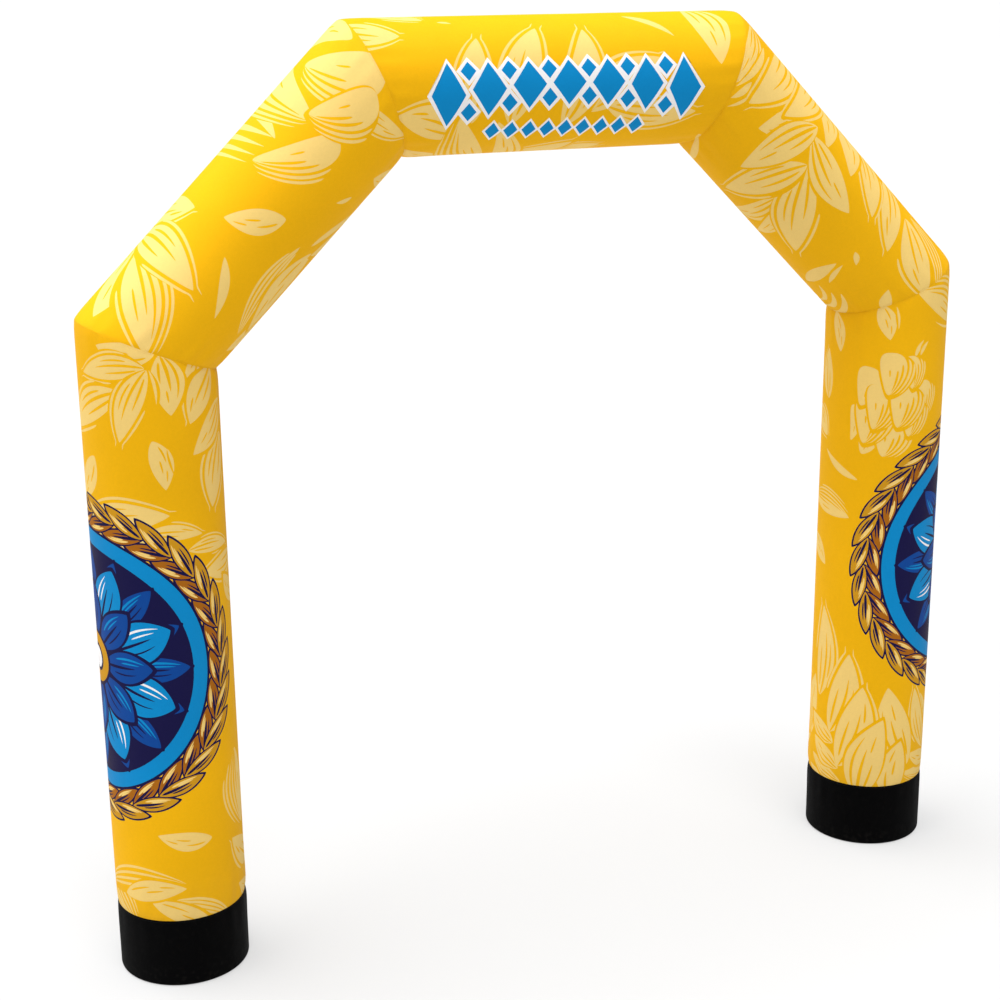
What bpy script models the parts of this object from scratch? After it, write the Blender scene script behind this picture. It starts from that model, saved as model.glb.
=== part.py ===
"""An inflatable event arch, standing on the ground and filled with air.

Five printed cloth tubes are sewn together at mitred seams: two upright legs, two sloping
shoulders and a level crossbeam. A plain band closes the foot of each leg. Each tube is one
solid of its inflated form: round, drawn in where it is sewn and puckered beside the seams.

Metres, +Z up. The origin is on the ground midway between the feet, the arch spans along X
and its printed front faces -Y.
"""

import math

import bmesh
import bpy
from mathutils import Vector

# Driving dimensions
TUBE_DIAMETER = 0.80
LEG_SPACING = 4.98  # between the centre lines of the legs
BEAM_CENTRE_LENGTH = 2.20  # of the crossbeam, between the two mitres
BEAM_HEIGHT = 5.34  # ground to the crossbeam's centre line
BAND_HEIGHT = 0.445  # of the plain band round each foot
BEND = math.radians(45)  # the arch turns by this much at each mitre

# Sewing and the way the cloth takes up the air
SEAM_GAP = 0.0003  # between the solids that meet at a seam
SEAM_DRAW = 0.007  # how far a seam holds the cloth in
DRAW_REACH = 0.035  # how fast the cloth swells out again beside the seam
PUCKER_DEPTH = 0.0042  # the deepest puckers, at the inner corner of a bend
OUTER_SHARE = 0.35  # of that depth is left at the outer corner, where the cloth is taut
PUCKER_PEAK = 0.065  # where beside the seam the puckers are deepest
COARSE_PUCKERS = 17  # round the tube
FINE_PUCKERS = 26
FINE_SHARE = 0.4  # of the depth, the rest being coarse puckers
PHASE_STEP = 1.3  # turns the puckers of each seam against those of the last, to keep them uneven
BAND_EDGE_RADIUS = 0.018  # roll of the cloth round the edge of the foot

# Facets
TUBE_SIDES = 72
RING_DISTANCES = (0.035, 0.09, 0.18, 0.34)  # of the rings beside each seam
BAND_ROLL_STEPS = 4
SHARP_ANGLE = math.radians(40)

# Colours as linear RGB
PRINT_YELLOW = (0.905, 0.445, 0.004)
BAND_BLACK = (0.006, 0.006, 0.007)

RADIUS = TUBE_DIAMETER / 2
LEG_X = LEG_SPACING / 2
BEAM_X = BEAM_CENTRE_LENGTH / 2
LEG_TOP = BEAM_HEIGHT - (LEG_X - BEAM_X) * math.tan(BEND)
MITRE = BEND / 2

# Corners of the centre line from the left foot over to the right foot, as (x, z)
CORNERS = (
    (-LEG_X, BAND_HEIGHT),
    (-LEG_X, LEG_TOP),
    (-BEAM_X, BEAM_HEIGHT),
    (BEAM_X, BEAM_HEIGHT),
    (LEG_X, LEG_TOP),
    (LEG_X, BAND_HEIGHT),
)

# Name, and the lean of the seam at the start and at the end
TUBES = (
    ("leg_left", 0, MITRE),
    ("shoulder_left", -MITRE, MITRE),
    ("crossbeam", -MITRE, MITRE),
    ("shoulder_right", -MITRE, MITRE),
    ("leg_right", -MITRE, 0),
)


def cloth_material(name, colour, roughness):
    """A plain woven cloth of one colour."""
    material = bpy.data.materials.new(name)
    material.use_nodes = True
    shader = material.node_tree.nodes["Principled BSDF"]
    shader.inputs["Base Color"].default_value = (*colour, 1)
    shader.inputs["Roughness"].default_value = roughness
    shader.inputs["Metallic"].default_value = 0
    return material


def skin_radius(angle, from_seam, seam_number):
    """Radius of the filled tube at an angle from the front, this far along the cloth from a seam."""
    drawn_in = SEAM_DRAW * math.exp(-from_seam / DRAW_REACH)
    inner_side = 0.5 - 0.5 * math.sin(angle)  # 1 at the inner corner, where spare cloth gathers
    depth = PUCKER_DEPTH * (OUTER_SHARE + (1 - OUTER_SHARE) * inner_side)
    near_seam = from_seam / PUCKER_PEAK * math.exp(1 - from_seam / PUCKER_PEAK)
    phase = PHASE_STEP * seam_number
    coarse = (1 - FINE_SHARE) * math.sin(COARSE_PUCKERS * angle + phase)
    fine = FINE_SHARE * math.sin(FINE_PUCKERS * angle - phase)
    return RADIUS - drawn_in + depth * near_seam * (coarse + fine)


def ring_stations(length):
    """Fractions of the tube's length at which its rings lie, close together beside the seams."""
    near = [distance / length for distance in RING_DISTANCES]
    return [0, *near, *(1 - share for share in reversed(near)), 1]


def make_tube(name, start, end, start_lean, end_lean, first_seam, material):
    """A filled tube from one corner to the next.

    Its local Z runs along it, X points out of the arch and Y to the front.
    """
    way = Vector((end[0] - start[0], 0, end[1] - start[1]))
    length = way.length
    stations = ring_stations(length)
    bm = bmesh.new()
    bmesh.ops.create_cone(
        bm, cap_ends=True, segments=TUBE_SIDES, radius1=RADIUS, radius2=RADIUS, depth=1
    )
    lengthwise = [edge for edge in bm.edges if abs(edge.verts[0].co.z - edge.verts[1].co.z) > 0.5]
    bmesh.ops.subdivide_edges(bm, edges=lengthwise, cuts=len(stations) - 2)

    half_gap = SEAM_GAP / 2
    for vert in bm.verts:
        share = stations[round((vert.co.z + 0.5) * (len(stations) - 1))]
        angle = math.atan2(vert.co.x, vert.co.y)
        out = RADIUS * math.sin(angle)
        low_seam = out * math.tan(start_lean) + half_gap / math.cos(start_lean)
        high_seam = length + out * math.tan(end_lean) - half_gap / math.cos(end_lean)
        from_seam = min(share, 1 - share) * (high_seam - low_seam)
        radius = skin_radius(angle, from_seam, first_seam + round(share))
        lean = math.tan(start_lean) * (1 - share) + math.tan(end_lean) * share
        drop = (RADIUS - radius) * math.sin(angle) * lean
        vert.co = (
            radius * math.sin(angle),
            radius * math.cos(angle),
            low_seam + share * (high_seam - low_seam) - drop,
        )
    mesh = bpy.data.meshes.new(name)
    bm.to_mesh(mesh)
    bm.free()
    mesh.shade_smooth()
    mesh.set_sharp_from_angle(angle=SHARP_ANGLE)

    tube = bpy.data.objects.new(name, mesh)
    tube.location = (start[0], 0, start[1])
    tube.rotation_euler = (0, -math.atan2(way.x, way.z), math.pi)
    mesh.materials.append(material)
    return tube


def band_profile():
    """Half section of a foot band, from the seam down its outer side to the middle of its flat base."""
    top = BAND_HEIGHT - SEAM_GAP / 2
    profile = [(0, top)]
    for below_seam in (0, *RING_DISTANCES[:3]):
        profile.append((RADIUS - SEAM_DRAW * math.exp(-below_seam / DRAW_REACH), top - below_seam))
    for step in range(BAND_ROLL_STEPS + 1):
        turn = math.radians(90) * step / BAND_ROLL_STEPS
        across = RADIUS - BAND_EDGE_RADIUS * (1 - math.cos(turn))
        profile.append((across, BAND_EDGE_RADIUS * (1 - math.sin(turn))))
    profile.append((0, 0))
    return profile


def make_band(name, x, material):
    """The plain band that closes the foot of a leg: a turned solid with a flat base."""
    profile = band_profile()
    mesh = bpy.data.meshes.new(name)
    edges = [(index, index + 1) for index in range(len(profile) - 1)]
    mesh.from_pydata([(across, 0, height) for across, height in profile], edges, [])
    mesh.materials.append(material)
    band = bpy.data.objects.new(name, mesh)
    band.location = (x, 0, 0)
    turned = band.modifiers.new("Turned", "SCREW")
    turned.steps = TUBE_SIDES
    turned.render_steps = TUBE_SIDES
    turned.use_merge_vertices = True
    turned.merge_threshold = 0.0001
    turned.use_smooth_shade = True
    return band


def main():
    for old in list(bpy.data.objects):
        bpy.data.objects.remove(old)
    parts = bpy.data.collections.new("inflatable_arch")
    bpy.context.scene.collection.children.link(parts)
    arch = bpy.data.objects.new("arch", None)
    parts.objects.link(arch)

    printed_cloth = cloth_material("printed_cloth", PRINT_YELLOW, 0.55)
    band_cloth = cloth_material("band_cloth", BAND_BLACK, 0.6)

    pieces = []
    for seam, (name, start_lean, end_lean) in enumerate(TUBES):
        start, end = CORNERS[seam : seam + 2]
        pieces.append(make_tube(name, start, end, start_lean, end_lean, seam, printed_cloth))
    pieces.append(make_band("foot_band_left", -LEG_X, band_cloth))
    pieces.append(make_band("foot_band_right", LEG_X, band_cloth))
    for piece in pieces:
        parts.objects.link(piece)
        piece.parent = arch


main()
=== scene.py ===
"""Looks of the inflatable arch: printed cloth tubes, foot bands, stitching, studio and camera.

The print is drawn in code as flat shapes on each tube's unrolled cloth, in metres. The cloth is
cut along those shapes into small triangles, each takes the ink on top, and the cut cloth is then
wrapped onto the same inflated form as the CAD solid that it stands for.
"""

import math

import bpy
import numpy as np
from mathutils import Matrix, Vector
from mathutils.geometry import delaunay_2d_cdt


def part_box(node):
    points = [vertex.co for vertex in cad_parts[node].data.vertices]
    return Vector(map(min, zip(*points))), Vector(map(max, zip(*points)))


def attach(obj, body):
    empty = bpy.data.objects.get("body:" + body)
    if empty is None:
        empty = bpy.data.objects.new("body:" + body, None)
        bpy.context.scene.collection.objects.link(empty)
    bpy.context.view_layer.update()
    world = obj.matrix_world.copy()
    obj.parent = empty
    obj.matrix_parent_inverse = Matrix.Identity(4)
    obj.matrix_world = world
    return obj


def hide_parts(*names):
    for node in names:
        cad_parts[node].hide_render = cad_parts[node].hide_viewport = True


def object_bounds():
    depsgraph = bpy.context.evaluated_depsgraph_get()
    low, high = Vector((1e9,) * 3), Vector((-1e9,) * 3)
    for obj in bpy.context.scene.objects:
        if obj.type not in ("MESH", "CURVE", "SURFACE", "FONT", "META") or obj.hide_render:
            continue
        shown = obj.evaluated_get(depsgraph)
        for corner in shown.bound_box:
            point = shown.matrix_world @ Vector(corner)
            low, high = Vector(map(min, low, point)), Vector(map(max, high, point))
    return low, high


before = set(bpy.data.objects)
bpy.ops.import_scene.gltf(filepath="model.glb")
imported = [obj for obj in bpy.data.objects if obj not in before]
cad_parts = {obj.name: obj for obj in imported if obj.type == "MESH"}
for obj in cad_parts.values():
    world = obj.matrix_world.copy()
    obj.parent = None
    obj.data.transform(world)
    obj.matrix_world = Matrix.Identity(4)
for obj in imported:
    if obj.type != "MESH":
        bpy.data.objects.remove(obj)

CAD_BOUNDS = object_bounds()

# Sizes, read from the frame where it holds them
BAND_LOW, BAND_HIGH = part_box("foot_band_right")
RADIUS = (BAND_HIGH[0] - BAND_LOW[0]) / 2
LEG_X = (BAND_HIGH[0] + BAND_LOW[0]) / 2
BEAM_HEIGHT = CAD_BOUNDS[1][2] - RADIUS
SEAM_GAP = 0.0003  # between the solids that meet at a seam
BAND_HEIGHT = BAND_HIGH[2] + SEAM_GAP / 2
BEND = math.radians(45)
MITRE = BEND / 2
BEAM_X = 1.10  # from the middle of the crossbeam to a mitre, on its centre line
LEG_TOP = BEAM_HEIGHT - (LEG_X - BEAM_X) * math.tan(BEND)
HALF_ROUND = math.pi * RADIUS  # half the way round a tube

# The inflated form, as in the CAD
SEAM_DRAW = 0.007  # how far a seam holds the cloth in
DRAW_REACH = 0.035  # how fast the cloth swells out again beside the seam
PUCKER_DEPTH = 0.0042  # the deepest puckers, at the inner corner of a bend
OUTER_SHARE = 0.35  # of that depth is left at the outer corner
PUCKER_PEAK = 0.065  # where beside the seam the puckers are deepest
COARSE_PUCKERS = 17  # round the tube
FINE_PUCKERS = 26
FINE_SHARE = 0.4  # of the depth, the rest being coarse puckers
PHASE_STEP = 1.3  # turns the puckers of each seam against those of the last
BAND_EDGE_RADIUS = 0.018  # roll of the cloth round the edge of the foot

# Fineness of the cloth meshes
CURVE_STEP = 0.014  # between points along the curves of the print
LEAST_EDGE_POINTS = 11  # along one edge of a short leaf
LEAST_STROKE_POINTS = 8
DISC_POINTS = 72
COLUMNS = 112  # round a tube
ROW_STEP = 0.032  # along a tube, away from its seams
SEAM_ROWS = (0.006, 0.014, 0.024, 0.036, 0.052, 0.072, 0.096, 0.124, 0.156, 0.19)  # from a seam
JOIN = 1e-5  # points nearer to each other than this are one
NORMAL_STEP = 1e-4  # each way from a place to the points that give its normal
MAP_MARGIN = 0.004  # bare edge of the bake map
BAND_SIDE_TOP = 0.22  # below the seam, where a foot band's side is already straight
BAND_SIDE_RINGS = 6
BAND_ROLL_CLEAR = 0.010  # from the lowest of those rings down to the roll of the edge
BAND_ROLL_RINGS = 9
BASE_CENTRE_RADIUS = 0.001  # of the last face, in the middle of a band's base

# Stitching beside the seams
THREAD = 0.0011
STITCH_LENGTH = 0.0055
STITCH_PITCH = 0.0078
STITCH_ROWS = (0.005, 0.012)  # away from the seam
LOW, HIGH = 0, 1  # the two ends of a tube

# A stitch's corners, as stitch lengths along its row from its middle, threads to the side and
# metres proud of the cloth, and the faces between them
STITCH_CORNERS = (
    (-0.5, 0, -0.0003),
    (-0.25, -0.5, -0.0001),
    (-0.25, 0.5, -0.0001),
    (0, 0, THREAD * 0.8),
    (0.25, -0.5, -0.0001),
    (0.25, 0.5, -0.0001),
    (0.5, 0, -0.0003),
)
STITCH_FACES = ((0, 3, 1), (0, 2, 3), (1, 3, 4), (2, 5, 3), (3, 6, 4), (3, 5, 6))

# Sizes in the cloths' finishes
PRINT_THREAD_PITCH = 0.0011
BAND_THREAD_PITCH = 0.0016
GRIME_HEIGHT = 0.35  # above a foot band, where the grime on the print ends
DUST_HEIGHT = 0.16  # above the ground, where a foot band's dust thins out

# Inks of the print as linear RGB
INKS = {
    "ground": (0.80, 0.414, 0.0032),
    "pale": (0.813, 0.565, 0.173),
    "navy": (0.007, 0.006, 0.049),
    "royal": (0.0036, 0.055, 0.267),
    "sky": (0.002, 0.222, 0.516),
    "gold": (0.551, 0.267, 0.011),
    "orange": (0.356, 0.116, 0.007),
    "white": (0.827, 0.81, 0.81),
}

# Other colours as linear RGB, in pairs of the darker and the lighter one
GRIME = (0.20, 0.13, 0.06)
DUST = (0.009, 0.008, 0.007)
BLACK_CLOTH = ((0.0004, 0.0004, 0.0005), (0.0012, 0.0011, 0.0013))
GOLDEN_THREAD = ((0.52, 0.24, 0.004), (0.80, 0.43, 0.02))
BLACK_THREAD = ((0.002, 0.002, 0.002), (0.010, 0.010, 0.010))


class Tube:
    """A length of inflated cloth tube between two corners of the arch.

    Cloth coordinates are in metres: along runs the way the tube goes, from the left foot over to
    the right one, and across runs round it from the middle of its front, positive on the inner side.
    """

    def __init__(self, node, start, end, start_lean, end_lean, first_seam):
        self.node = node
        self.start = np.array((start[0], 0, start[1]))
        run = np.array((end[0] - start[0], 0, end[1] - start[1]))
        self.length = float(np.linalg.norm(run))
        self.way = run / self.length
        self.outward = np.array((-self.way[2], 0, self.way[0]))
        self.front = np.array((0, -1, 0))
        self.start_lean = math.tan(start_lean)
        self.end_lean = math.tan(end_lean)
        self.start_gap = SEAM_GAP / 2 / math.cos(start_lean)
        self.end_gap = SEAM_GAP / 2 / math.cos(end_lean)
        self.first_seam = first_seam

    def ends(self, across):
        """Where the cloth begins and stops along the tube at this place across."""
        out = RADIUS * np.sin(-np.asarray(across) / RADIUS)
        low = out * self.start_lean + self.start_gap
        high = self.length + out * self.end_lean - self.end_gap
        return low, high

    def place(self, across, along, proud=0.0):
        """Points of the inflated skin in the frame, this far proud of it."""
        angle = -across / RADIUS
        low, high = self.ends(across)
        share = (along - low) / (high - low)
        from_seam = np.minimum(along - low, high - along).clip(0)
        seam = self.first_seam + np.round(share)
        radius = skin_radius(angle, from_seam, seam)
        lean = self.start_lean * (1 - share) + self.end_lean * share
        drop = (RADIUS - radius) * np.sin(angle) * lean
        radius = radius + proud
        return (
            self.start
            + np.multiply.outer(along - drop, self.way)
            + np.multiply.outer(radius * np.sin(angle), self.outward)
            + np.multiply.outer(radius * np.cos(angle), self.front)
        )

    def normals(self, across, along):
        """Outward unit normals of the skin."""
        step = NORMAL_STEP
        low, high = self.ends(across)
        inside = np.clip(along, low + step, high - step)
        over = self.place(across + step, inside) - self.place(across - step, inside)
        up = self.place(across, inside + step) - self.place(across, inside - step)
        normal = np.cross(over, up)
        return normal / np.linalg.norm(normal, axis=1, keepdims=True)


def skin_radius(angle, from_seam, seam):
    """Radius of the filled tube, the same as the CAD solid's."""
    drawn_in = SEAM_DRAW * np.exp(-from_seam / DRAW_REACH)
    inner_side = 0.5 - 0.5 * np.sin(angle)
    depth = PUCKER_DEPTH * (OUTER_SHARE + (1 - OUTER_SHARE) * inner_side)
    near_seam = from_seam / PUCKER_PEAK * np.exp(1 - from_seam / PUCKER_PEAK)
    phase = PHASE_STEP * seam
    coarse = (1 - FINE_SHARE) * np.sin(COARSE_PUCKERS * angle + phase)
    fine = FINE_SHARE * np.sin(FINE_PUCKERS * angle - phase)
    return RADIUS - drawn_in + depth * near_seam * (coarse + fine)


# Artwork

STROKE_SKEW = 0.7  # under 1, so that strokes are thickest before their middle
STROKE_TAPER = 0.6  # how soon a stroke's ends thin out
LINE_TAPER = 0.45  # the same for pale lines, whose ends are blunter


class Artwork:
    """Flat shapes on one tube's unrolled cloth, later ones on top of earlier ones."""

    def __init__(self):
        self.shapes = []

    def add(self, ink, points):
        points = np.asarray(points, dtype=float)
        following = np.roll(points, -1, axis=0)
        twice_area = (points[:, 0] * following[:, 1] - following[:, 0] * points[:, 1]).sum()
        self.shapes.append((ink, points if twice_area > 0 else points[::-1]))

    def disc(self, ink, centre, radius, points=DISC_POINTS):
        turn = np.linspace(0, 2 * math.pi, points, endpoint=False)
        across = centre[0] + radius * np.cos(turn)
        along = centre[1] + radius * np.sin(turn)
        self.add(ink, np.column_stack((across, along)))


class Blade:
    """A pointed oval on a bowed middle line: the form of leaves, scales, petals and strokes.

    A negative width turns it over, so that its strokes lie on the other side.
    """

    def __init__(self, base, tip, width, bow=0.0, belly=0.45, taper=0.85):
        self.base = np.array(base, dtype=float)
        self.tip = np.array(tip, dtype=float)
        run = self.tip - self.base
        self.length = float(np.hypot(*run))
        self.heading = run / self.length
        flip = 1 if width > 0 else -1
        self.side = np.array((-self.heading[1], self.heading[0])) * flip
        self.width = abs(width)
        self.bow = bow
        self.skew = math.log(0.5) / math.log(belly)  # makes it widest at its belly
        self.taper = taper

    def at(self, t, half_widths, offset=0.0):
        """Points t of the way to the tip, so many half widths and metres to the side of the middle."""
        t = np.asarray(t, dtype=float)
        half = self.width / 2 * np.sin(math.pi * t.clip(0, 1) ** self.skew).clip(0) ** self.taper
        sideways = self.bow * self.length * 4 * t * (1 - t) + half_widths * half + offset
        ahead = np.multiply.outer(t * self.length, self.heading)
        return self.base + ahead + np.multiply.outer(sideways, self.side)

    def along_it(self):
        """Steps from the base to the tip, close together at both."""
        count = max(LEAST_EDGE_POINTS, round(self.length / CURVE_STEP))
        return (1 - np.cos(np.linspace(0, math.pi, count))) / 2

    def outline(self, above=1.0, below=-1.0, grow=0.0):
        """All round it, out to these half widths and grown by metres."""
        t = self.along_it()
        return np.vstack((self.at(t, above, grow), self.at(t[-2:0:-1], below, -grow)))

    def stroke(self, start, end, half_widths, offset, thickness, taper=STROKE_TAPER):
        """A stroke that runs with the blade's edges, thickest near its start."""
        count = max(LEAST_STROKE_POINTS, round((end - start) * self.length / CURVE_STEP))
        share = np.linspace(0, 1, count)
        t = start + (end - start) * share
        half = thickness / 2 * np.sin(math.pi * share**STROKE_SKEW).clip(0) ** taper
        upper = self.at(t, half_widths, offset + half)
        lower = self.at(t[-2:0:-1], half_widths, offset - half[-2:0:-1])
        return np.vstack((upper, lower))


# How each kind of leaf is drawn: where its belly lies, how much it tapers and bows, and its
# strokes. A stroke has an ink, a start and an end along the leaf, half widths to the side of the
# middle, and then an offset and a thickness in metres for a leaf of the usual width.
LEAF_STYLES = {
    "bare": (0.45, 0.85, 0.06, ()),
    "curl": (0.50, 0.55, 0.22, ()),
    "short": (0.45, 0.80, 0.06, (
        ("ground", 0.12, 0.48, 0.36, 0, 0.017),
        ("ground", 0.40, 0.68, -0.12, 0, 0.015),
        ("ground", 0.62, 0.86, 0.30, 0, 0.013),
    )),
    "veined": (0.45, 0.82, 0.06, (
        ("ground", 0.01, 0.62, 0.05, 0, 0.021),
        ("ground", 0.05, 0.76, 0.58, 0, 0.018),
        ("ground", 0.10, 0.46, -0.48, 0, 0.016),
        ("ground", 0.58, 0.80, -0.22, 0, 0.012),
    )),
    "striped": (0.48, 0.80, 0.06, (
        ("ground", 0.00, 0.93, 0.72, 0, 0.019),
        ("ground", 0.02, 0.86, 0.34, 0, 0.018),
        ("ground", 0.03, 0.58, -0.02, 0, 0.016),
        ("ground", 0.34, 0.60, -0.48, 0, 0.012),
        ("pale", 0.12, 0.98, 1.0, 0.026, 0.016),
        ("pale", 0.26, 0.90, 1.0, 0.053, 0.014),
    )),
    "echoed": (0.45, 0.82, 0.06, (
        ("ground", 0.00, 0.72, 0.15, 0, 0.020),
        ("ground", 0.10, 0.56, -0.46, 0, 0.017),
        ("ground", 0.22, 0.62, 0.60, 0, 0.015),
        ("pale", 0.22, 1.08, 1.0, 0.026, 0.016),
        ("pale", 0.48, 1.08, -1.0, -0.026, 0.015),
    )),
    "single": (0.45, 0.82, 0.06, (
        ("ground", 0.00, 0.70, 0.10, 0, 0.020),
        ("ground", 0.12, 0.58, -0.46, 0, 0.017),
        ("ground", 0.60, 0.84, 0.42, 0, 0.014),
        ("pale", 0.42, 1.08, 1.0, 0.026, 0.017),
    )),
    "framed": (0.45, 0.82, 0.06, (
        ("ground", 0.00, 0.66, 0.20, 0, 0.020),
        ("ground", 0.06, 0.88, 0.66, 0, 0.017),
        ("ground", 0.38, 0.70, -0.35, 0, 0.014),
        ("pale", 0.24, 1.04, 1.0, 0.027, 0.016),
        ("pale", 0.40, 1.00, 1.0, 0.056, 0.015),
        ("pale", 0.34, 0.98, -1.0, -0.027, 0.016),
    )),
    "scale": (0.31, 0.60, 0.08, (
        ("ground", 0.40, 0.62, 0.30, 0, 0.012),
        ("ground", 0.58, 0.78, -0.10, 0, 0.011),
    )),
    "hatched": (0.31, 0.60, 0.08, (
        ("ground", 0.26, 1.00, 0.68, 0, 0.017),
        ("ground", 0.40, 0.92, 0.30, 0, 0.016),
        ("ground", 0.40, 0.58, -0.30, 0, 0.012),
        ("pale", 0.14, 1.00, 1.0, 0.024, 0.018),
        ("pale", 0.24, 0.97, 1.0, 0.052, 0.016),
    )),
}
USUAL_LEAF = 0.18  # width that the strokes above are given for
LEAST_STROKES, MOST_STROKES = 0.6, 1.15  # limits to how a leaf's width scales its strokes
LEAF_GAP = 0.016  # bare ground round each leaf, where it lies on others

# Lines of the "arcs" kind: half widths to the side of the middle, and a start and an end along it
ARC_LINES = ((1.0, 0.12, 0.98), (0.76, 0.03, 0.96), (0.52, 0.05, 0.97), (0.29, 0.10, 0.94))
ARC_THICKNESS = 0.017
ARC_GAP = LEAF_GAP * 1.4  # bare ground beyond the outermost line


def arcs(art, base, tip, width):
    """Pale lines nested over one another from the base to the tip, on one side only."""
    blade = Blade(base, tip, width, belly=0.5, taper=0.75)
    art.add("ground", blade.outline(above=1.0, below=0.0, grow=ARC_GAP))
    for half_widths, start, end in ARC_LINES:
        art.add("pale", blade.stroke(start, end, half_widths, 0, ARC_THICKNESS, LINE_TAPER))


def leaf(art, base, tip, width, style):
    """A leaf with its strokes and the lines that echo its edges, on a margin of bare ground."""
    belly, taper, bow, strokes = LEAF_STYLES[style]
    blade = Blade(base, tip, width, bow, belly, taper)
    wider = math.copysign(abs(width) + 2 * LEAF_GAP, width)
    round_it = Blade(blade.base, blade.tip + 2 * LEAF_GAP * blade.heading, wider, bow, belly, taper)
    scale = min(max(blade.width / USUAL_LEAF, LEAST_STROKES), MOST_STROKES)
    echoes = [offset * scale for ink, _, _, _, offset, _ in strokes if ink == "pale"]
    art.add("ground", round_it.outline())
    if echoes:
        reach = max(abs(offset) for offset in echoes)
        upper = reach if max(echoes) > 0 else 0
        lower = reach if min(echoes) < 0 else 0
        t = round_it.along_it()
        swell = np.sqrt(np.sin(math.pi * t).clip(0))
        over = round_it.at(t, 1.0, upper * swell)
        under = round_it.at(t[-2:0:-1], -1.0, -lower * swell[-2:0:-1])
        art.add("ground", np.vstack((over, under)))
    art.add("pale", blade.outline())
    for ink, start, end, half_widths, offset, thickness in strokes:
        ends = LINE_TAPER if ink == "pale" else STROKE_TAPER
        art.add(ink, blade.stroke(start, end, half_widths, offset * scale, thickness * scale, ends))


def leaves(art, rows):
    """Leaves from rows of base across, base along, tip across, tip along, width and style."""
    for base_across, base_along, tip_across, tip_along, width, style in rows:
        base = (base_across, base_along)
        tip = (tip_across, tip_along)
        if style == "arcs":
            arcs(art, base, tip, width)
        else:
            leaf(art, base, tip, width, style)


# Leaves, sprays and cones of each tube as they lie on its front, those underneath first: base
# across, base along, tip across, tip along, width and style. A negative width turns a leaf over.
LEG_LEFT_LEAVES = (
    (-0.03, 3.515, -0.375, 3.565, 0.140, "short"),
    (0.27, 3.480, 0.12, 3.290, 0.130, "veined"),
    (0.44, 2.990, 0.30, 2.570, -0.200, "echoed"),
    (0.45, 3.190, 0.17, 2.910, 0.160, "veined"),
    (0.36, 3.390, 0.16, 3.095, -0.190, "single"),
    (0.00, 3.510, 0.045, 3.160, 0.195, "veined"),
    (-0.065, 3.430, -0.035, 3.230, 0.018, "bare"),
    (-0.09, 3.440, -0.51, 3.395, -0.140, "echoed"),
    (-0.24, 3.305, -0.70, 3.040, -0.190, "echoed"),
    (-0.08, 3.430, -0.26, 3.015, -0.155, "echoed"),
    (-0.07, 3.020, -0.01, 2.730, 0.135, "short"),
    (0.01, 2.970, 0.04, 2.830, 0.018, "bare"),
    (-0.46, 2.910, -0.68, 2.620, 0.160, "short"),
    (-0.60, 2.475, 0.00, 2.575, 0.190, "echoed"),
    (-0.52, 2.390, -0.10, 2.440, 0.120, "veined"),
    (-0.15, 2.465, 0.20, 2.435, 0.095, "single"),
    (0.10, 2.350, 0.45, 2.315, 0.095, "echoed"),
    (0.56, 2.230, 0.20, 2.190, 0.150, "echoed"),
    (0.56, 1.930, 0.38, 2.130, 0.130, "short"),
    (0.40, 1.010, 0.47, 0.480, -0.190, "striped"),
    (0.62, 0.200, 0.31, 0.440, 0.180, "single"),
    (0.14, 0.515, -0.19, 0.575, 0.125, "short"),
    (-0.74, 0.180, -0.40, -0.090, 0.200, "striped"),
    (0.60, -0.020, 0.36, 0.110, 0.120, "veined"),
    (-0.18, 0.120, 0.27, -0.090, 0.220, "arcs"),
    (-0.26, 0.130, 0.16, -0.130, 0.130, "short"),
    (-0.70, 0.120, -0.02, 0.225, 0.340, "arcs"),
    (-0.46, 0.140, -0.04, 0.215, 0.140, "short"),
)
SHOULDER_LEFT_LEAVES = (
    (-0.86, 0.620, -0.43, 0.760, -0.220, "single"),
    (-0.66, 0.420, -0.465, -0.075, 0.280, "veined"),
    (-0.57, 0.340, -0.06, -0.050, 0.235, "framed"),
    (-0.76, 0.455, -0.10, 0.400, 0.225, "echoed"),
    (-0.09, 0.655, 0.10, 0.360, 0.060, "bare"),
    (0.03, 1.040, -0.24, 0.820, 0.150, "short"),
    (0.50, 0.600, 0.37, 0.270, 0.150, "veined"),
    (0.24, 1.010, 0.35, 0.370, -0.260, "arcs"),
    (0.36, 1.010, 0.41, 0.440, -0.190, "short"),
    (0.60, 1.420, 0.30, 1.020, -0.130, "arcs"),
    (0.60, 1.330, 0.38, 1.000, 0.130, "veined"),
    (0.28, 1.400, 0.21, 1.310, 0.028, "bare"),
    (0.57, 1.700, 0.33, 1.570, 0.130, "short"),
    (-0.16, 1.785, 0.28, 1.865, -0.115, "single"),
    (-0.98, 1.330, -0.33, 1.345, -0.042, "bare"),
    (-0.98, 1.255, -0.34, 1.270, -0.038, "bare"),
    (-0.98, 1.180, -0.35, 1.200, -0.034, "bare"),
    (-0.98, 1.120, -0.36, 1.140, -0.026, "bare"),
    (-1.05, 1.410, -0.325, 1.345, 0.120, "scale"),
    (-0.02, 1.560, -0.34, 1.170, 0.185, "hatched"),
    (-1.00, 1.740, -0.23, 1.550, -0.300, "hatched"),
    (-0.90, 1.920, -0.38, 2.060, 0.230, "scale"),
    (-0.07, 2.010, -0.54, 1.790, 0.290, "hatched"),
    (-0.02, 1.885, -0.265, 1.570, 0.225, "hatched"),
)
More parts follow.
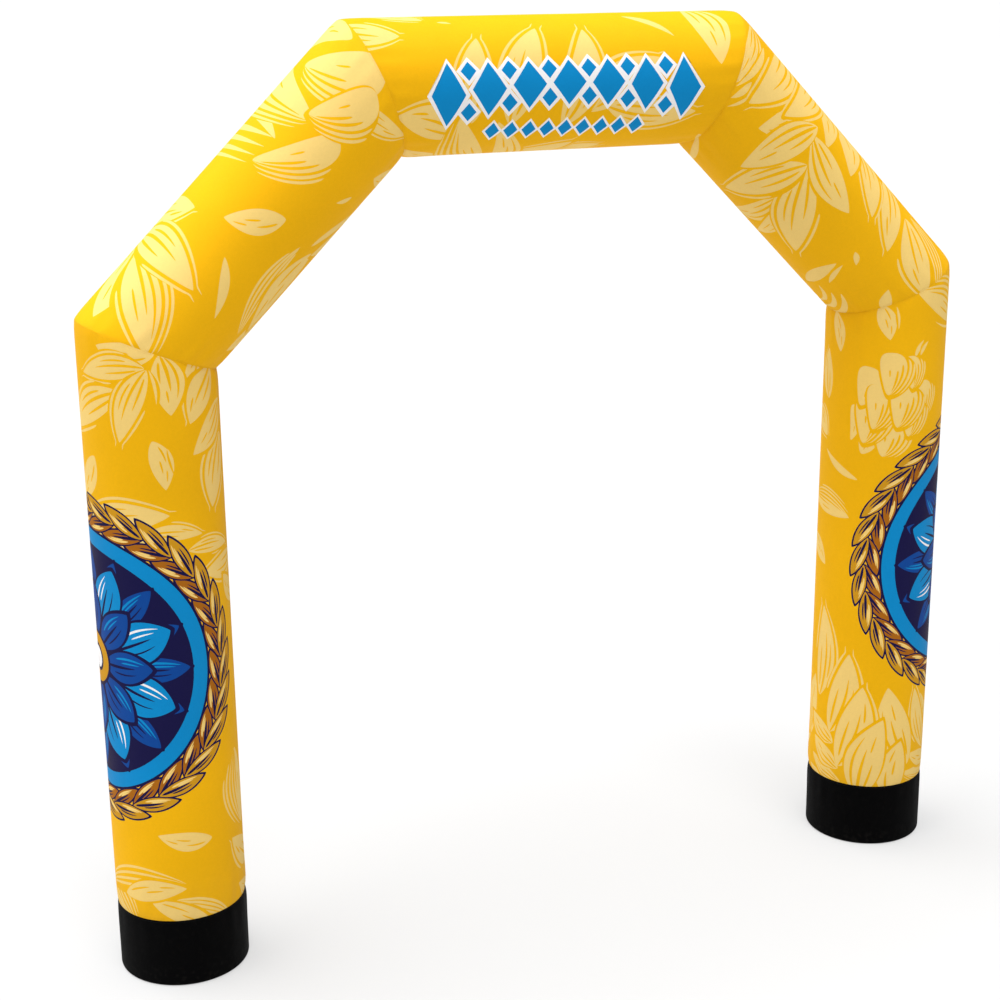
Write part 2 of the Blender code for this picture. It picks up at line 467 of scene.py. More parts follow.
BEAM_LEAVES = (
    (-0.64, 2.020, -0.10, 2.095, 0.240, "veined"),
    (-0.50, 1.550, -0.29, 1.820, 0.050, "bare"),
    (-0.78, 1.700, -0.62, 1.100, 0.100, "bare"),
    (-0.66, -0.020, -0.50, 0.290, 0.150, "framed"),
    (-0.47, 0.370, -0.45, 0.450, 0.022, "bare"),
    (-0.46, -0.280, -0.34, 0.105, -0.190, "echoed"),
    (0.15, 1.220, -0.15, 1.700, 0.220, "echoed"),
    (0.12, 1.340, 0.18, 1.940, -0.180, "echoed"),
    (0.66, 0.980, 0.45, 1.390, 0.170, "echoed"),
    (0.66, 0.660, 0.40, 1.190, -0.190, "echoed"),
    (0.25, 1.080, -0.36, 1.240, -0.210, "echoed"),
    (0.20, 0.500, -0.31, 0.560, 0.190, "echoed"),
    (0.22, 0.740, -0.38, 0.945, 0.230, "echoed"),
    (0.66, 0.520, 0.41, 0.120, 0.170, "veined"),
    (0.28, 0.460, 0.14, 0.050, -0.220, "single"),
    (0.78, 0.700, 0.16, 0.430, 0.210, "striped"),
    (0.80, 0.860, 0.20, 0.670, -0.170, "veined"),
    (0.38, 2.030, 0.50, 2.060, 0.040, "bare"),
)
SHOULDER_RIGHT_LEAVES = (
    (-0.24, 0.530, 0.095, 0.320, 0.180, "short"),
    (-0.37, 1.600, -0.08, 2.060, 0.300, "arcs"),
    (-0.30, 1.575, -0.01, 2.020, -0.240, "single"),
    (-0.50, 1.360, -0.005, 1.570, -0.200, "single"),
    (-0.60, 1.090, -0.08, 1.325, -0.200, "echoed"),
    (-0.66, 0.760, -0.16, 1.030, 0.250, "short"),
    (-0.66, 0.600, -0.16, 0.770, 0.200, "veined"),
    (-0.45, -0.080, 0.04, -0.010, 0.140, "veined"),
    (-0.34, 0.045, 0.03, 0.020, 0.045, "bare"),
    (-0.06, 0.080, 0.10, 0.050, 0.042, "bare"),
    (0.00, 0.130, 0.15, 0.075, 0.020, "bare"),
    (-0.62, 0.265, 0.04, 0.155, 0.230, "echoed"),
    (-0.70, 0.570, -0.08, 0.395, 0.200, "echoed"),
    (0.26, 0.770, 0.78, 0.790, 0.150, "veined"),
    (0.20, 0.800, 0.68, 0.990, 0.120, "veined"),
    (0.03, 0.740, 0.465, 1.190, -0.240, "echoed"),
    (-0.14, 0.640, 0.02, 1.175, -0.220, "veined"),
    (0.02, 0.730, 0.58, 0.570, -0.200, "echoed"),
    (-0.22, 0.640, 0.34, 0.455, -0.210, "veined"),
    (0.15, 1.410, 0.20, 1.490, 0.040, "bare"),
    (0.26, 1.910, 0.15, 1.780, 0.085, "bare"),
    (0.62, 1.475, 0.29, 1.400, 0.095, "bare"),
    (0.43, 1.515, 0.265, 1.435, 0.034, "bare"),
    (0.43, 0.130, 0.76, 0.330, 0.050, "bare"),
    (0.42, 1.630, 0.66, 1.800, 0.046, "curl"),
    (0.48, 1.600, 0.68, 1.735, 0.040, "curl"),
    (0.53, 1.520, 0.68, 1.680, 0.036, "curl"),
)
LEG_RIGHT_LEAVES = (
    (-0.50, 0.250, 0.02, 0.000, -0.210, "striped"),
    (-0.40, 0.275, -0.14, 0.210, 0.016, "bare"),
    (0.27, 0.080, 0.195, 0.310, 0.125, "short"),
    (0.165, 0.090, 0.145, 0.240, 0.016, "bare"),
    (0.66, 0.760, 0.68, 0.420, 0.140, "single"),
    (0.62, 0.160, 0.545, 0.420, 0.110, "short"),
    (0.86, 0.840, 0.66, 1.020, 0.150, "echoed"),
    (0.37, 1.275, 0.66, 1.110, 0.052, "bare"),
    (0.84, 1.480, 0.42, 1.550, 0.140, "striped"),
    (0.84, 1.760, 0.62, 1.930, 0.130, "short"),
    (0.02, 0.430, -0.04, 0.320, 0.030, "bare"),
    (-0.02, 0.420, -0.08, 0.330, 0.024, "bare"),
    (0.31, 0.960, 0.35, 1.090, 0.120, "scale"),
    (0.17, 0.870, 0.21, 1.100, 0.195, "hatched"),
    (-0.05, 0.590, -0.07, 0.835, 0.125, "hatched"),
    (0.03, 0.710, 0.04, 0.965, 0.155, "hatched"),
    (0.41, 0.760, 0.43, 1.005, 0.085, "scale"),
    (0.32, 0.700, 0.34, 1.015, 0.195, "hatched"),
    (0.32, 0.495, 0.37, 0.760, 0.170, "scale"),
    (0.26, 0.610, 0.28, 0.915, 0.170, "hatched"),
    (0.09, 0.610, 0.12, 0.900, 0.190, "hatched"),
    (0.06, 0.420, 0.03, 0.640, 0.120, "hatched"),
    (0.18, 0.395, 0.19, 0.680, 0.180, "hatched"),
    (-0.50, 3.470, -0.06, 3.420, 0.110, "striped"),
    (-0.40, 3.390, -0.11, 3.290, 0.120, "short"),
    (-0.44, 3.220, -0.22, 2.860, 0.140, "veined"),
    (0.46, 3.560, 0.72, 3.460, 0.090, "short"),
    (0.40, 3.500, 0.68, 3.360, 0.100, "veined"),
    (0.74, 3.240, 0.68, 2.760, 0.170, "veined"),
    (0.47, 3.220, 0.70, 3.050, 0.140, "veined"),
    (0.42, 3.400, 0.66, 3.220, 0.135, "veined"),
    (0.62, 2.900, 0.61, 2.230, -0.180, "echoed"),
    (0.50, 3.140, 0.37, 2.530, -0.220, "echoed"),
    (-0.32, 3.300, -0.14, 2.800, 0.150, "echoed"),
    (-0.10, 3.360, 0.09, 2.760, 0.260, "veined"),
    (0.42, 3.380, 0.265, 2.760, -0.250, "single"),
    (0.04, 3.600, -0.03, 3.175, 0.220, "short"),
    (0.27, 3.600, 0.115, 3.000, 0.265, "veined"),
)
BACK_EDGE = 0.62  # leaves that lie within this of the front's middle are repeated on the back


def turned_round(rows, length):
    """The same leaves on the back of the tube, turned end for end, to finish what the photo hides."""
    return [
        (a0 + HALF_ROUND, length - s0, a1 + HALF_ROUND, length - s1, width, style)
        for a0, s0, a1, s1, width, style in rows
        if max(abs(a0), abs(a1)) < BACK_EDGE
    ]


# The medallion on the outer side of each leg
MEDALLION_RADIUS = 1.03
MEDALLION_HEIGHT = 1.64  # of its centre above the foot band
PETAL_OUTLINE = 0.014
WREATH_OUTLINE = 0.010
WREATH_LEAF_WIDTH = 0.085

# Its wreath, as shares of the medallion's radius
WREATH_RADIUS = 0.90
WREATH_LEAF_LENGTH = 0.26
WREATH_LIFT = 0.085  # from the wreath's circle to the tip of a leaf, to either side
WREATH_PAIRS = 30

# Its discs, as ink and share of the radius: the ring round the flower, and the flower's heart
RING_DISCS = (("navy", 0.80), ("sky", 0.785), ("navy", 0.695))
RING_POINTS = 120
HEART_DISCS = (("navy", 0.17), ("gold", 0.15), ("navy", 0.085), ("white", 0.065))

# Its layers of petals, the undermost first: count, then start, end and width as shares of the
# radius, and fill. The middle layer is turned by half a petal.
PETAL_LAYERS = (
    (16, 0.30, 0.675, 0.150, "royal"),
    (8, 0.22, 0.62, 0.250, "sky"),
    (8, 0.12, 0.46, 0.190, "royal"),
)


def petal(art, base, tip, width, fill, shine, outline):
    """A petal with a navy outline and light strokes."""
    heading = (tip - base) / np.hypot(*(tip - base))
    low = base - outline * heading
    high = tip + 2 * outline * heading
    art.add("navy", Blade(low, high, width + 2 * outline, belly=0.5, taper=0.72).outline())
    blade = Blade(base, tip, width, belly=0.5, taper=0.78)
    art.add(fill, blade.outline())
    for ink, start, end, half_widths, thickness in (
        ("navy", 0.05, 0.70, 0, 0.018),
        (shine, 0.30, 0.86, 0.58, 0.014),
        (shine, 0.42, 0.78, 0.30, 0.010),
        ("navy", 0.25, 0.72, -0.45, 0.010),
    ):
        art.add(ink, blade.stroke(start, end, half_widths, 0, thickness))


def polar(centre, distance, turn):
    """A point on the cloth at this distance and angle from a centre."""
    return np.array((centre[0] + distance * math.cos(turn), centre[1] + distance * math.sin(turn)))


def wreath(art, centre, radius):
    """Pairs of leaves laid round a circle, pointing the same way: orange inside it, gold outside."""
    circle = radius * WREATH_RADIUS
    length = radius * WREATH_LEAF_LENGTH
    lift = radius * WREATH_LIFT
    for number in range(WREATH_PAIRS):
        turn = 2 * math.pi * number / WREATH_PAIRS
        for outward, fill in ((-1, "orange"), (1, "gold")):
            base = polar(centre, circle, turn)
            tip = polar(centre, circle + outward * lift, turn + length / circle)
            petal(art, base, tip, WREATH_LEAF_WIDTH, fill, "pale", WREATH_OUTLINE)


def medallion(art, centre, radius):
    """A round flower of blue petals inside a plain ring and a wreath of gold leaves."""
    wreath(art, centre, radius)
    for ink, share in RING_DISCS:
        art.disc(ink, centre, radius * share, RING_POINTS)
    for layer, (count, start, end, width, fill) in enumerate(PETAL_LAYERS):
        shine = "sky" if fill == "royal" else "white"
        for number in range(count):
            turn = 2 * math.pi * (number + 0.5 * (layer % 2)) / count
            base = polar(centre, radius * start, turn)
            tip = polar(centre, radius * end, turn)
            petal(art, base, tip, radius * width, fill, shine, PETAL_OUTLINE)
    for ink, share in HEART_DISCS:
        art.disc(ink, centre, radius * share)


# The garland on the front of the crossbeam
GARLAND_PITCH = 0.25  # between its large lozenges
GARLAND_TOP = -0.155  # across the cloth
LARGE_EACH_WAY = 3  # large lozenges from the middle to either end
LARGE_HALF_ALONG = 0.105
LARGE_HALF_ACROSS = 0.130  # of the lozenge in the middle
DEEPENING = 0.006  # of the others, times the square of their number from the middle
INSET = 0.05  # of the lozenges between the large ones, from the garland's edges
SMALL_ROW = 0.262  # across the cloth
SMALL_PITCH = 0.115
SMALL_EACH_WAY = 4
RIM, SMALL_RIM = 0.018, 0.012  # width of the white edge
RIM_CORNER = 1.5  # times that width is how far the white edge reaches at a corner


def lozenge(art, centre, half_along, half_across, rim=RIM):
    """A blue lozenge with a white edge."""
    for ink, grow in (("white", rim * RIM_CORNER), ("sky", 0)):
        art.add(ink, [
            (centre[0], centre[1] - half_along - grow),
            (centre[0] + half_across + grow, centre[1]),
            (centre[0], centre[1] + half_along + grow),
            (centre[0] - half_across - grow, centre[1]),
        ])


def garland_half(number):
    """Half the garland's depth at this many lozenges from its middle."""
    return LARGE_HALF_ACROSS + DEEPENING * number**2


def garland(art):
    """Blue lozenges edged in white along the crossbeam, deeper at both ends, over a row of small ones."""
    for number in range(-LARGE_EACH_WAY, LARGE_EACH_WAY + 1):
        half = garland_half(number)
        centre = (GARLAND_TOP + half, BEAM_X + number * GARLAND_PITCH)
        lozenge(art, centre, LARGE_HALF_ALONG, half)
    for number in range(-LARGE_EACH_WAY, LARGE_EACH_WAY):
        between = number + 0.5
        lower_edge = GARLAND_TOP + 2 * garland_half(between)
        for across in (GARLAND_TOP + INSET, lower_edge - INSET):
            centre = (across, BEAM_X + between * GARLAND_PITCH)
            lozenge(art, centre, half_along=0.048, half_across=0.055)
    for number in range(-SMALL_EACH_WAY, SMALL_EACH_WAY + 1):
        centre = (SMALL_ROW, BEAM_X + number * SMALL_PITCH)
        lozenge(art, centre, half_along=0.045, half_across=0.060, rim=SMALL_RIM)


def artwork_of(tube, rows):
    """All that is printed on one tube: its leaves, front and back, and what lies over them."""
    art = Artwork()
    leaves(art, turned_round(rows, tube.length))
    leaves(art, rows)
    outer_side = -HALF_ROUND / 2
    if tube.node == "leg_left":
        medallion(art, (outer_side, MEDALLION_HEIGHT), MEDALLION_RADIUS)
    elif tube.node == "crossbeam":
        garland(art)
    elif tube.node == "leg_right":
        medallion(art, (outer_side, LEG_TOP - BAND_HEIGHT - MEDALLION_HEIGHT), MEDALLION_RADIUS)
    return art


# Cloth meshes


def row_shares(tube):
    """Shares of the tube's length at which rows of points lie, close together beside the seams."""
    near = [distance / tube.length for distance in SEAM_ROWS]
    count = math.ceil((1 - 2 * near[-1]) * tube.length / ROW_STEP)
    middle = np.linspace(near[-1], 1 - near[-1], count + 1)[1:-1]
    return np.array([0, *near, *middle, *(1 - share for share in reversed(near)), 1])


def cloth_grid(tube):
    """The cloth's outline in cloth coordinates, and the loose points inside it that carry its roundness."""
    columns = np.linspace(-HALF_ROUND, HALF_ROUND, COLUMNS + 1)
    shares = row_shares(tube)
    low, high = tube.ends(columns)
    grid = np.array([np.column_stack((columns, low + share * (high - low))) for share in shares])
    outline = np.vstack((grid[0], grid[1:-1, -1], grid[-1, ::-1], grid[-2:0:-1, 0]))
    return outline, grid[1:-1, 1:-1].reshape(-1, 2)


def cut_cloth(tube, art):
    """Triangles of the cloth cut along the artwork's shapes, with the ink on top of each.

    A shape over the middle of the back is cut at both edges of the unrolled cloth.
    """
    outline, loose = cloth_grid(tube)
    points = [*outline]
    faces = [list(range(len(outline)))]
    inks = ["ground"]
    for ink, shape in art.shapes:
        for shift in (-2 * HALF_ROUND, 0, 2 * HALF_ROUND):
            moved = shape + (shift, 0)
            if moved[:, 0].max() < -HALF_ROUND or moved[:, 0].min() > HALF_ROUND:
                continue
            faces.append(list(range(len(points), len(points) + len(moved))))
            points.extend(moved)
            inks.append(ink)
    points.extend(loose)
    flat = [Vector(point) for point in points]
    corners, _, triangles, _, _, origins = delaunay_2d_cdt(flat, [], faces, 1, JOIN)
    kept = [number for number, inside in enumerate(origins) if 0 in inside]
    return (
        np.array([tuple(corner) for corner in corners]),
        [triangles[number] for number in kept],
        [inks[max(origins[number])] for number in kept],
    )


def add_metres(mesh, flat):
    """A map in metres, for the weave."""
    metres = mesh.uv_layers.new(name="metres")
    metres.data.foreach_set("uv", np.asarray(flat).ravel())


def add_maps(mesh, flat, ink_of_face):
    """The bake map, the map in metres and the ink of each face."""
    corner_points = flat[[loop.vertex_index for loop in mesh.loops]]
    low, high = flat.min(axis=0), flat.max(axis=0)
    bake = mesh.uv_layers.new(name="OFBake")
    share = (corner_points - low) / (high - low)
    bake.data.foreach_set("uv", (MAP_MARGIN + (1 - 2 * MAP_MARGIN) * share).ravel())
    add_metres(mesh, corner_points)
    ink = mesh.color_attributes.new(name="ink", type="FLOAT_COLOR", domain="CORNER")
    colours = np.ones((len(mesh.loops), 4))
    for face, name in zip(mesh.polygons, ink_of_face):
        colours[face.loop_start : face.loop_start + face.loop_total, :3] = INKS[name]
    ink.data.foreach_set("color", colours.ravel())


def add_piece(mesh, material):
    """A new object in the scene, of this mesh and material."""
    mesh.materials.append(material)
    piece = bpy.data.objects.new(mesh.name, mesh)
    bpy.context.scene.collection.objects.link(piece)
    return piece


def printed_tube(tube, rows, material):
    """The printed cloth of one tube, in place of its CAD solid."""
    flat, triangles, ink_of_face = cut_cloth(tube, artwork_of(tube, rows))
    used = sorted({corner for triangle in triangles for corner in triangle})
    new_number = {old: new for new, old in enumerate(used)}
    flat = flat[used]
    triangles = [[new_number[corner] for corner in triangle] for triangle in triangles]
    mesh = bpy.data.meshes.new("printed_" + tube.node)
    mesh.from_pydata(tube.place(flat[:, 0], flat[:, 1]).tolist(), [], triangles)
    add_maps(mesh, flat, ink_of_face)
    mesh.shade_smooth()
    mesh.normals_split_custom_set_from_vertices(tube.normals(flat[:, 0], flat[:, 1]).tolist())
    piece = add_piece(mesh, material)
    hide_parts(tube.node)
    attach(piece, "root")


# Foot bands


def band_profile():
    """Radius and height of a band from its seam, down its side and under its edge to the middle."""
    top = BAND_HEIGHT - SEAM_GAP / 2
    profile = [(RADIUS - SEAM_DRAW * math.exp(-drop / DRAW_REACH), top - drop) for drop in (0, *SEAM_ROWS)]
    lowest = BAND_EDGE_RADIUS + BAND_ROLL_CLEAR
    for height in np.linspace(top - BAND_SIDE_TOP, lowest, BAND_SIDE_RINGS):
        profile.append((RADIUS, height))
    for turn in np.radians(np.linspace(0, 90, BAND_ROLL_RINGS)):
        across = RADIUS - BAND_EDGE_RADIUS * (1 - math.cos(turn))
        profile.append((across, BAND_EDGE_RADIUS * (1 - math.sin(turn))))
    profile.append((RADIUS / 2, 0))
    profile.append((BASE_CENTRE_RADIUS, 0))
    return profile


def foot_band(node, x, seam, material):
    """The plain band round a foot, in place of its CAD solid."""
    profile = band_profile()
    outward = math.copysign(1, x)
    turns = np.linspace(0, 2 * math.pi, COLUMNS, endpoint=False)
    points = []
    for across, height in profile:
        below = profile[0][1] - height
        for turn in turns:
            pucker = skin_radius(outward * turn, below, seam) - RADIUS
            pucker += SEAM_DRAW * math.exp(-below / DRAW_REACH)
            radius = across + pucker * min(1, across / RADIUS)
            points.append((x + radius * math.sin(turn), -radius * math.cos(turn), height))
    steps = [math.dist(one, other) for one, other in zip(profile, profile[1:])]
    down = np.cumsum([0, *steps])
    round_it = np.linspace(0, 2 * HALF_ROUND, COLUMNS + 1)
    faces = []
    flat = []
    for ring in range(len(profile) - 1):
        for number in range(COLUMNS):
            here = ring * COLUMNS + number
            beside = ring * COLUMNS + (number + 1) % COLUMNS
            faces.append((here, here + COLUMNS, beside + COLUMNS, beside))
            left, right = round_it[number : number + 2]
            upper, lower = down[ring : ring + 2]
            flat.extend(((left, upper), (left, lower), (right, lower), (right, upper)))
    faces.append([(len(profile) - 1) * COLUMNS + number for number in range(COLUMNS)])
    flat.extend(points[corner][:2] for corner in faces[-1])
    mesh = bpy.data.meshes.new("cloth_" + node)
    mesh.from_pydata(points, [], faces)
    add_metres(mesh, flat)
    mesh.shade_smooth()
    piece = add_piece(mesh, material)
    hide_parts(node)
    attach(piece, "root")


# Stitching


def stitch(tube, across, side, away):
    """Corners of one stitch: a low ridge of thread whose ends dip into the cloth."""
    corners = []
    for lengths, threads, proud in STITCH_CORNERS:
        place = across + lengths * STITCH_LENGTH
        low, high = tube.ends(place)
        row = low + away if side == LOW else high - away
        corners.append((place, row + threads * THREAD, proud))
    return corners


def stitching(tube, sides, material):
    """Rows of stitches beside the seams at the low or high end of a tube, as one piece."""
    count = round(2 * HALF_ROUND / STITCH_PITCH)
    middles = [-HALF_ROUND + (number + 0.5) * 2 * HALF_ROUND / count for number in range(count)]
    flat = []
    for side in sides:
        for away in STITCH_ROWS:
            for middle in middles:
                flat.extend(stitch(tube, middle, side, away))
    flat = np.array(flat)
    points = tube.place(flat[:, 0], flat[:, 1], flat[:, 2])
    faces = []
    for first in range(0, len(flat), len(STITCH_CORNERS)):
        faces.extend([tuple(first + corner for corner in face) for face in STITCH_FACES])
    mesh = bpy.data.meshes.new("stitches_" + tube.node)
    mesh.from_pydata(points.tolist(), [], faces)
    mesh.shade_smooth()
    piece = add_piece(mesh, material)
    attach(piece, "root")


# Materials


class Finish:
    """A material, with short ways to add the nodes that lead to its shader."""

    def __init__(self, name):
        self.material = bpy.data.materials.new(name)
        self.material.use_nodes = True
        self.nodes = self.material.node_tree.nodes
        self.links = self.material.node_tree.links
        self.shader = self.nodes["Principled BSDF"]

    def feed(self, node, values):
        """Give a node's inputs constants or the outputs of other nodes."""
        for name, value in values.items():
            if isinstance(value, bpy.types.NodeSocket):
                self.links.new(value, node.inputs[name])
            elif isinstance(value, tuple):
                node.inputs[name].default_value = (*value, 1)
            else:
                node.inputs[name].default_value = value

    def place(self):
        """Places on the object, in metres."""
        return self.nodes.new("ShaderNodeTexCoord").outputs["Object"]

    def split(self, vector):
        """The X, Y and Z of a vector."""
        node = self.nodes.new("ShaderNodeSeparateXYZ")
        self.feed(node, {"Vector": vector})
        return node.outputs

    def noise(self, place, scale, detail=3):
        """Soft uneven values round one half, with this many waves a metre."""
        node = self.nodes.new("ShaderNodeTexNoise")
        self.feed(node, {"Vector": place, "Scale": scale, "Detail": detail})
        return node.outputs["Fac"]

    def ramp(self, value, low, high, start=0.0, end=1.0):
        """A value spread from start to end, turned into one from low to high."""
        node = self.nodes.new("ShaderNodeMapRange")
        self.feed(node, {"Value": value, "From Min": start, "From Max": end})
        self.feed(node, {"To Min": low, "To Max": high})
        return node.outputs["Result"]

    def bump(self, height, distance, strength, under=None):
        """A bumpy surface, over another one where that is given."""
        node = self.nodes.new("ShaderNodeBump")
        self.feed(node, {"Height": height, "Distance": distance, "Strength": strength})
        if under:
            self.feed(node, {"Normal": under})
        return node.outputs["Normal"]

    def calculated(self, operation, *values):
        """One or two values put through an operation of the math node."""
        node = self.nodes.new("ShaderNodeMath")
        node.operation = operation
        self.feed(node, dict(enumerate(values)))
        return node.outputs["Value"]

    def multiplied(self, colour, factor):
        """A colour times a number."""
        node = self.nodes.new("ShaderNodeMixRGB")
        node.blend_type = "MULTIPLY"
        self.feed(node, {"Fac": 1.0, "Color1": colour, "Color2": factor})
        return node.outputs["Color"]

    def blended(self, share, below, above):
        """One colour over another, by share."""
        node = self.nodes.new("ShaderNodeMixRGB")
        self.feed(node, {"Fac": share, "Color1": below, "Color2": above})
        return node.outputs["Color"]

    def ink(self):
        """The colour printed on each face."""
        node = self.nodes.new("ShaderNodeVertexColor")
        node.layer_name = "ink"
        return node.outputs["Color"]

    def weave(self, pitch):
        """Height of a plain weave, a small hump wherever one thread passes over another."""
        metres = self.nodes.new("ShaderNodeUVMap")
        metres.uv_map = "metres"
        cloth = self.split(metres.outputs["UV"])
        waves = []
        for axis in ("X", "Y"):
            turns = self.calculated("MULTIPLY", cloth[axis], math.pi / pitch)
            waves.append(self.calculated("SINE", turns))
        return self.calculated("ABSOLUTE", self.calculated("MULTIPLY", *waves))


def printed_cloth():
    """Printed polyester: a fine weave, uneven ink, a little grime near the ground."""
    finish = Finish("printed_cloth_finish")
    place = finish.place()
    threads = finish.weave(PRINT_THREAD_PITCH)

    patches = finish.noise(place, scale=1.7)
    patches = finish.ramp(patches, low=0.955, high=1.035, start=0.25, end=0.75)
    mottle = finish.noise(place, scale=60, detail=4)
    mottle = finish.ramp(mottle, low=0.975, high=1.02, start=0.25, end=0.75)
    shade = finish.calculated("MULTIPLY", patches, mottle)
    shade = finish.calculated("MULTIPLY", shade, finish.ramp(threads, low=0.965, high=1.05))
    colour = finish.multiplied(finish.ink(), shade)

    height = finish.split(place)["Z"]
    grime_end = BAND_HEIGHT + GRIME_HEIGHT
    near_ground = finish.ramp(height, low=0.16, high=0.0, start=BAND_HEIGHT, end=grime_end)
    grime = finish.calculated("MULTIPLY", near_ground, finish.noise(place, scale=9, detail=5))

    slack = finish.bump(finish.noise(place, scale=2.2, detail=1), distance=0.02, strength=0.30)
    crinkles = finish.noise(place, scale=28)
    crinkled = finish.bump(crinkles, distance=0.0012, strength=0.25, under=slack)
    finish.feed(finish.shader, {
        "Base Color": finish.blended(grime, colour, GRIME),
        "Normal": finish.bump(threads, distance=0.00012, strength=0.55, under=crinkled),
        "Roughness": finish.ramp(finish.noise(place, scale=14, detail=4), low=0.62, high=0.78),
        "Specular IOR Level": 0.06,
        "Sheen Weight": 0.04,
        "Sheen Roughness": 0.45,
        "Sheen Tint": (1.0, 0.75, 0.25),
    })
    return finish.material


def band_cloth():
    """Heavy black cloth, scuffed and dusty towards the ground."""
    finish = Finish("band_cloth_finish")
    place = finish.place()
    threads = finish.weave(BAND_THREAD_PITCH)

    height = finish.split(place)["Z"]
    low_down = finish.ramp(height, low=1.0, high=0.15, start=0.0, end=DUST_HEIGHT)
    specks = finish.noise(place, scale=34, detail=6)
    specks = finish.ramp(specks, low=0.0, high=1.0, start=0.52, end=0.78)
    dust = finish.calculated("MULTIPLY", low_down, specks)

    slack = finish.bump(finish.noise(place, scale=3, detail=1), distance=0.02, strength=0.30)
    crinkles = finish.noise(place, scale=24)
    crinkled = finish.bump(crinkles, distance=0.0015, strength=0.30, under=slack)
    finish.feed(finish.shader, {
        "Base Color": finish.blended(dust, finish.blended(threads, *BLACK_CLOTH), DUST),
        "Normal": finish.bump(threads, distance=0.0002, strength=0.7, under=crinkled),
        "Roughness": finish.ramp(finish.noise(place, scale=12, detail=4), low=0.60, high=0.80),
        "Specular IOR Level": 0.03,
        "Sheen Weight": 0.006,
        "Sheen Roughness": 0.5,
    })
    return finish.material


def sewing_thread(name, colours):
    """Twisted thread, lighter on some of its strands."""
    finish = Finish(name)
    strands = finish.noise(finish.place(), scale=900, detail=2)
    finish.feed(finish.shader, {
        "Base Color": finish.blended(strands, *colours),
        "Normal": finish.bump(strands, distance=0.0002, strength=0.5),
        "Roughness": 0.55,
        "Specular IOR Level": 0.15,
    })
    return finish.material


# Studio


def look_frame(yaw, pitch, roll):
    """Rotation of a camera that looks along +Y before it is turned by these angles."""
    level = math.cos(pitch)
    forward = Vector((math.sin(yaw) * level, math.cos(yaw) * level, math.sin(pitch)))
    right = Vector((math.cos(yaw), -math.sin(yaw), 0))
    up = right.cross(forward)
    right, up = (
        math.cos(roll) * right + math.sin(roll) * up,
        -math.sin(roll) * right + math.cos(roll) * up,
    )
    return Matrix((right, up, -forward)).transposed()


def add_camera():
    """The photograph's camera, fitted to the outlines of the tubes."""
    camera = bpy.data.cameras.new("camera")
    camera.lens = 65.866
    camera.sensor_width = 36
    camera.sensor_fit = "HORIZONTAL"
    camera.clip_end = 2000
    holder = bpy.data.objects.new("camera", camera)
    holder.location = (-4.3224, -10.4265, 6.0258)
    holder.rotation_euler = look_frame(yaw=0.36718, pitch=-0.28473, roll=-0.01073).to_euler()
    bpy.context.scene.collection.objects.link(holder)
    bpy.context.scene.camera = holder


def add_floor():
    """A wide floor just under the feet, bright enough to look as white as the photo's ground."""
    bpy.ops.mesh.primitive_plane_add(size=1600, location=(0, 0, -0.0004))
    floor = bpy.context.object
    floor.name = "floor"
    finish = Finish("floor_finish")
    finish.feed(finish.shader, {
        "Base Color": (0.28, 0.28, 0.28),
        "Roughness": 1,
        "Specular IOR Level": 0,
        "Emission Color": (1, 1, 1),
        "Emission Strength": 0.487,
    })
    floor.data.materials.append(finish.material)


def add_sun(name, toward_light, energy, softness):
    """A far light of this many degrees across."""
    light = bpy.data.lights.new(name, "SUN")
    light.energy = energy
    light.angle = math.radians(softness)
    holder = bpy.data.objects.new(name, light)
    holder.rotation_euler = Vector(toward_light).to_track_quat("Z", "Y").to_euler()
    bpy.context.scene.collection.objects.link(holder)


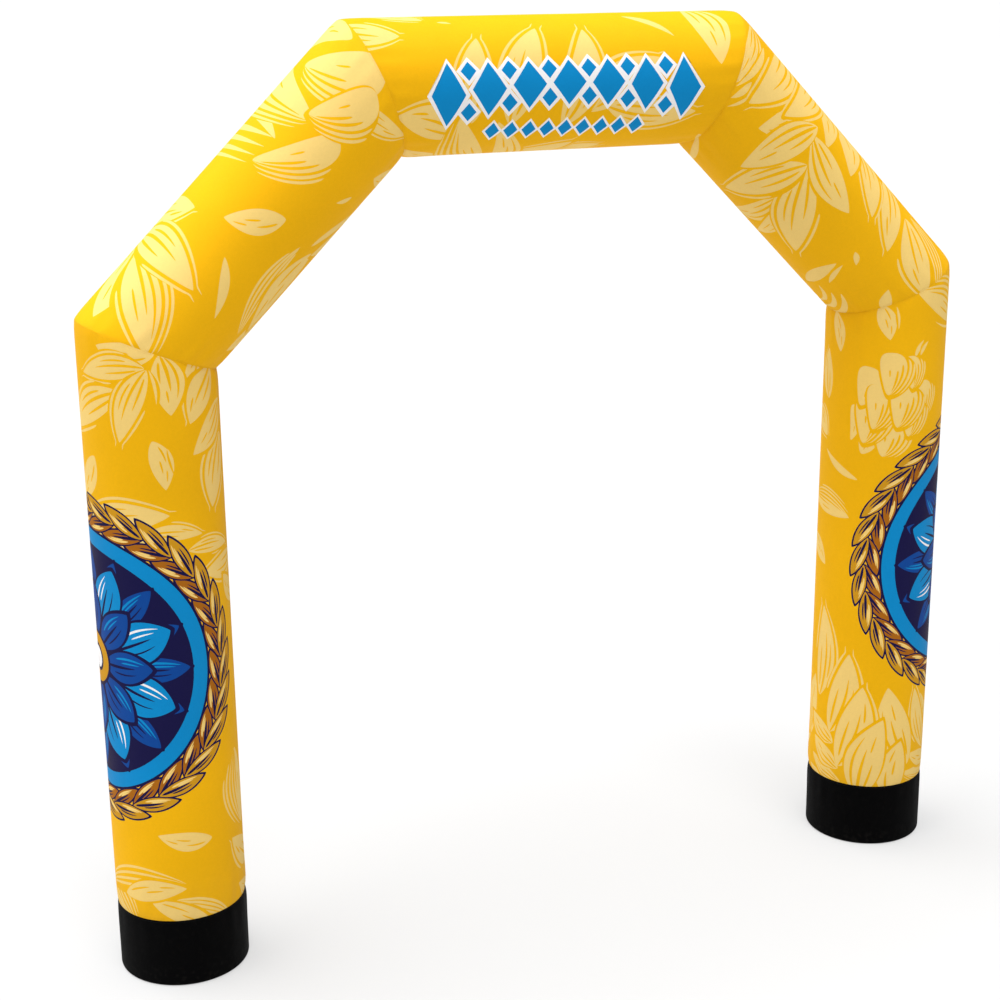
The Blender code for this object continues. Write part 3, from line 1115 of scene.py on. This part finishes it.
def add_lights():
    """Large soft lights from above, from the left and from the front, in a dim pale room."""
    world = bpy.data.worlds.new("studio")
    bpy.context.scene.world = world
    world.use_nodes = True
    background = world.node_tree.nodes["Background"]
    background.inputs["Color"].default_value = (1, 1, 1, 1)
    background.inputs["Strength"].default_value = 0.10
    add_sun("above", (0, 0, 1), energy=3.23, softness=45)
    add_sun("left", (-0.64, 0.29, 0.71), energy=2.50, softness=75)
    add_sun("front", (0, -0.71, 0.71), energy=1.39, softness=45)
    bpy.context.scene.view_settings.view_transform = "Standard"


# The arch: corners of its centre line from the left foot over to the right foot, as (x, z)
CORNERS = (
    (-LEG_X, BAND_HEIGHT),
    (-LEG_X, LEG_TOP),
    (-BEAM_X, BEAM_HEIGHT),
    (BEAM_X, BEAM_HEIGHT),
    (LEG_X, LEG_TOP),
    (LEG_X, BAND_HEIGHT),
)

# Node, lean of the seam at the start and at the end, and leaves
TUBES = (
    ("leg_left", 0, MITRE, LEG_LEFT_LEAVES),
    ("shoulder_left", -MITRE, MITRE, SHOULDER_LEFT_LEAVES),
    ("crossbeam", -MITRE, MITRE, BEAM_LEAVES),
    ("shoulder_right", -MITRE, MITRE, SHOULDER_RIGHT_LEAVES),
    ("leg_right", -MITRE, 0, LEG_RIGHT_LEAVES),
)


def main():
    printed = printed_cloth()
    black = band_cloth()
    golden_thread = sewing_thread("golden_thread", GOLDEN_THREAD)
    black_thread = sewing_thread("black_thread", BLACK_THREAD)
    for seam, (node, start_lean, end_lean, rows) in enumerate(TUBES):
        tube = Tube(node, CORNERS[seam], CORNERS[seam + 1], start_lean, end_lean, seam)
        printed_tube(tube, rows, printed)
        stitching(tube, (LOW, HIGH), golden_thread)
    last_seam = len(TUBES)
    foot_band("foot_band_left", -LEG_X, 0, black)
    foot_band("foot_band_right", LEG_X, last_seam, black)
    left_foot = Tube("foot_band_left", (-LEG_X, 0), (-LEG_X, BAND_HEIGHT), 0, 0, first_seam=-1)
    right_foot = Tube("foot_band_right", (LEG_X, BAND_HEIGHT), (LEG_X, 0), 0, 0, first_seam=last_seam)
    stitching(left_foot, (HIGH,), black_thread)
    stitching(right_foot, (LOW,), black_thread)
    add_floor()
    add_lights()
    add_camera()


main()
